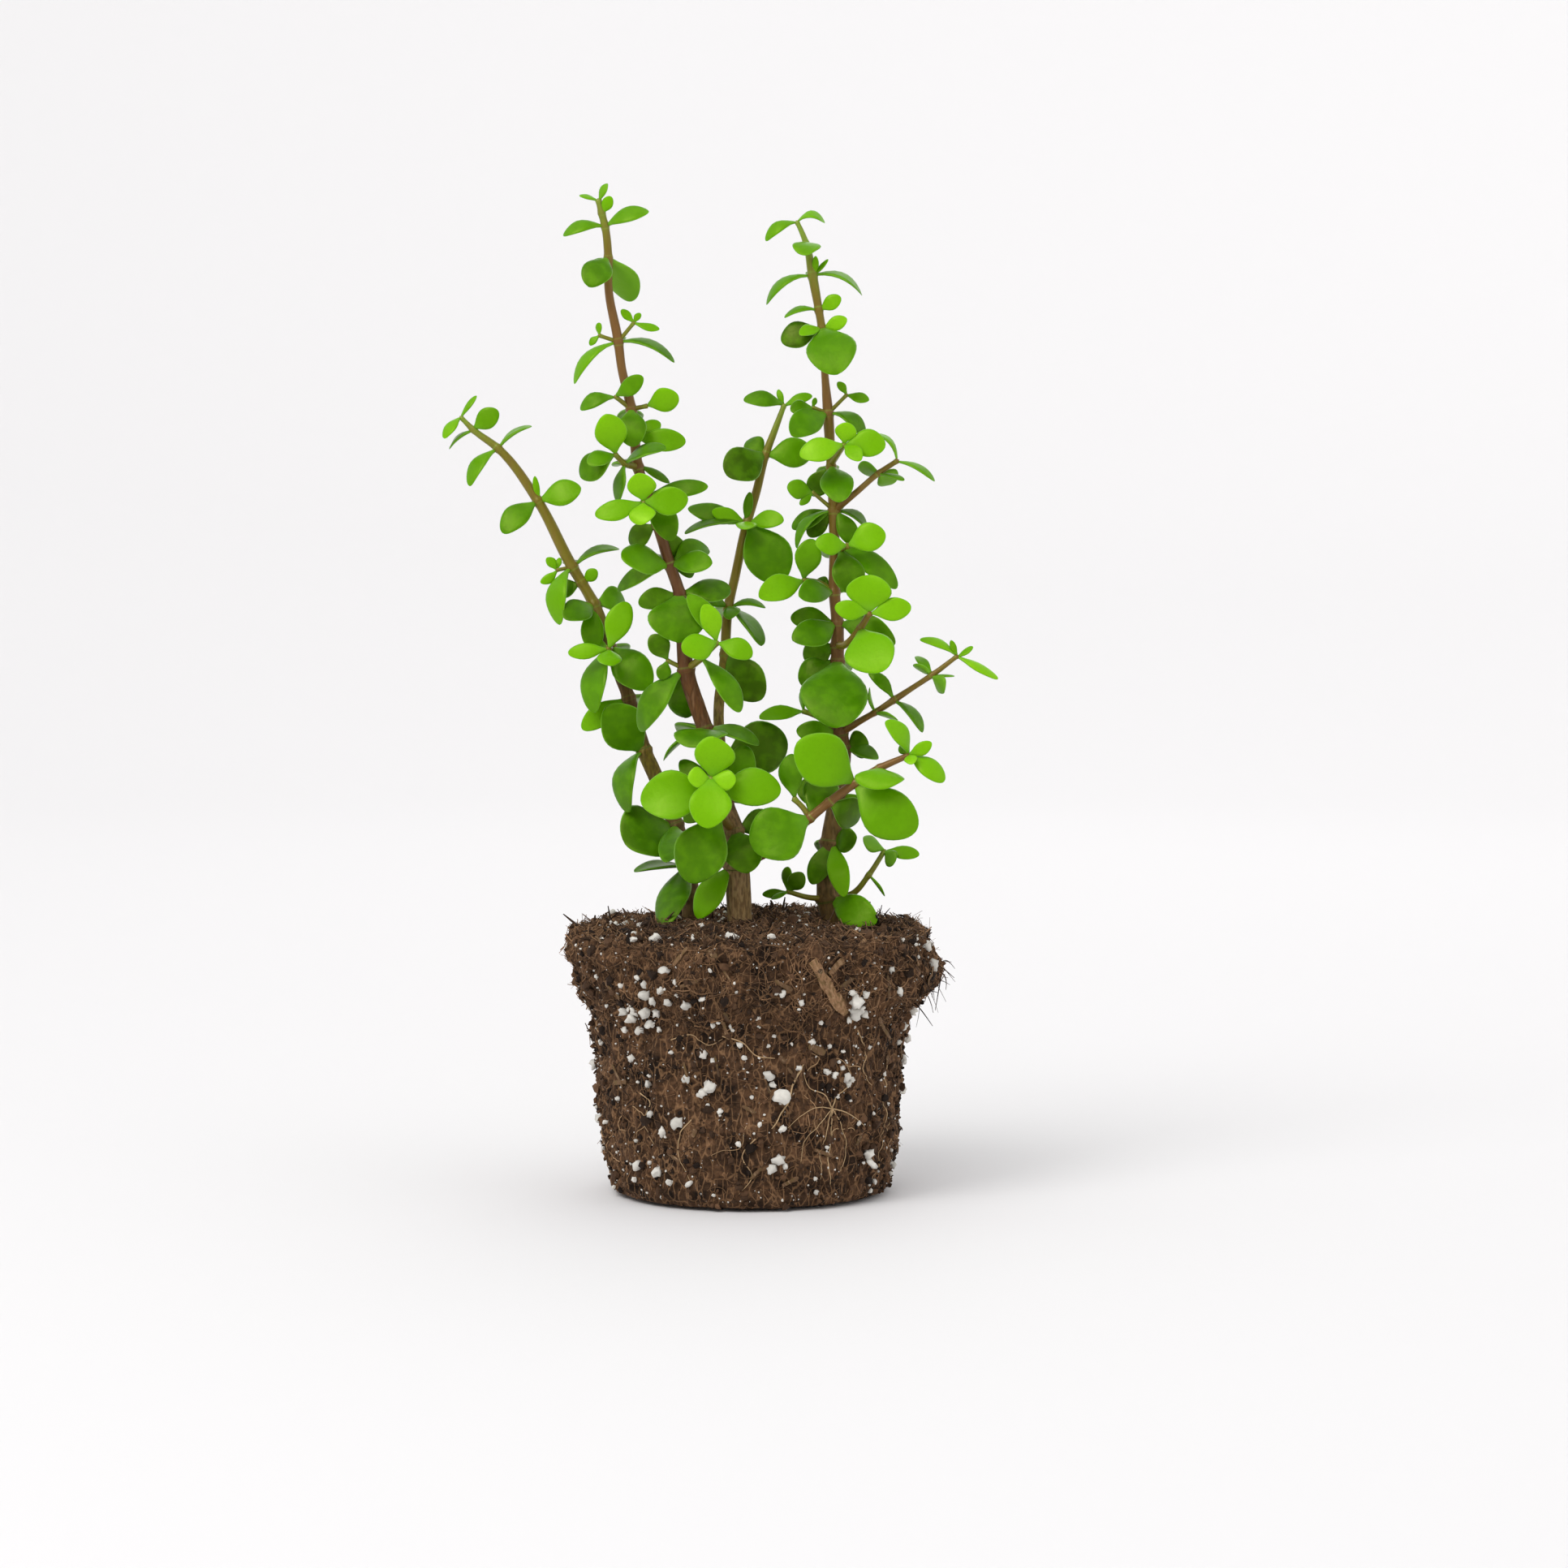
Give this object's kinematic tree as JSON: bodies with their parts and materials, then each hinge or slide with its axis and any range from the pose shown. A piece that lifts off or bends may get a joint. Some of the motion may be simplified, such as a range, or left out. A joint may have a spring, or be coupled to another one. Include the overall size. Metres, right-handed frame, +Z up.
{
  "type": "jade plant with bare root ball",
  "caption": "Small-leaved jade plant out of its pot: upright woody stems with fleshy paired leaves, standing on a pot-shaped ball of soil and roots with a flat base.",
  "frame": {"origin": "centre of the root ball's flat base", "axes": "+Z up the plant, -Y towards the front, +X to the right as seen from the front"},
  "size_m": [0.1777, 0.115, 0.319],
  "materials": {
    "soil": "matt fibrous peat and coir",
    "old_stem": "woody, grey-brown",
    "young_stem": "smooth, olive green",
    "red_stem": "smooth, reddish brown",
    "leaf": "waxy, fleshy"
  },
  "bodies": {
    "root": {"root_ball": "soil", "trunk": "old_stem", "stem_left": "old_stem", "stem_left_top": "young_stem", "stem_middle": "old_stem", "stem_middle_top": "young_stem", "stem_back": "young_stem", "stem_right": "old_stem", "stem_right_middle": "old_stem", "stem_right_top": "young_stem", "branch_red": "red_stem", "shoot_foot_left": "young_stem", "shoot_foot_right": "young_stem", "shoot_left": "young_stem", "shoot_middle_front": "young_stem", "shoot_middle_left": "young_stem", "shoot_right_arm": "young_stem", "shoot_right_back": "young_stem", "shoot_right_front": "young_stem", "shoot_right_left": "young_stem", "shoot_right_long": "young_stem", "shoot_right_near": "young_stem", "shoot_right_rosette": "young_stem", "shoot_trunk_front": "young_stem", "shoot_trunk_right": "young_stem", "leaf_branch_red_01": "leaf", "leaf_branch_red_02": "leaf", "leaf_branch_red_04": "leaf", "leaf_branch_red_05": "leaf", "leaf_branch_red_06": "leaf", "leaf_shoot_right_front_01": "leaf", "leaf_shoot_right_front_04": "leaf", "leaf_shoot_trunk_front_01": "leaf", "leaf_shoot_trunk_front_02": "leaf", "leaf_shoot_trunk_front_05": "leaf", "leaf_shoot_trunk_front_06": "leaf", "leaf_shoot_trunk_front_07": "leaf", "leaf_stem_back_01": "leaf", "leaf_stem_back_02": "leaf", "leaf_stem_back_12": "leaf", "leaf_stem_back_13": "leaf", "leaf_stem_left_01": "leaf", "leaf_stem_left_02": "leaf", "leaf_stem_left_04": "leaf", "leaf_stem_left_06": "leaf", "leaf_stem_left_08": "leaf", "leaf_stem_middle_01": "leaf", "leaf_stem_middle_05": "leaf", "leaf_stem_middle_top_04": "leaf", "leaf_stem_right_middle_01": "leaf", "leaf_stem_right_middle_02": "leaf", "leaf_stem_right_middle_14": "leaf", "leaf_stem_right_top_03": "leaf", "leaf_trunk_02": "leaf", "leaf_trunk_04": "leaf", "leaf_trunk_05": "leaf", "leaf_trunk_11": "leaf"}
  },
  "joints": []
}
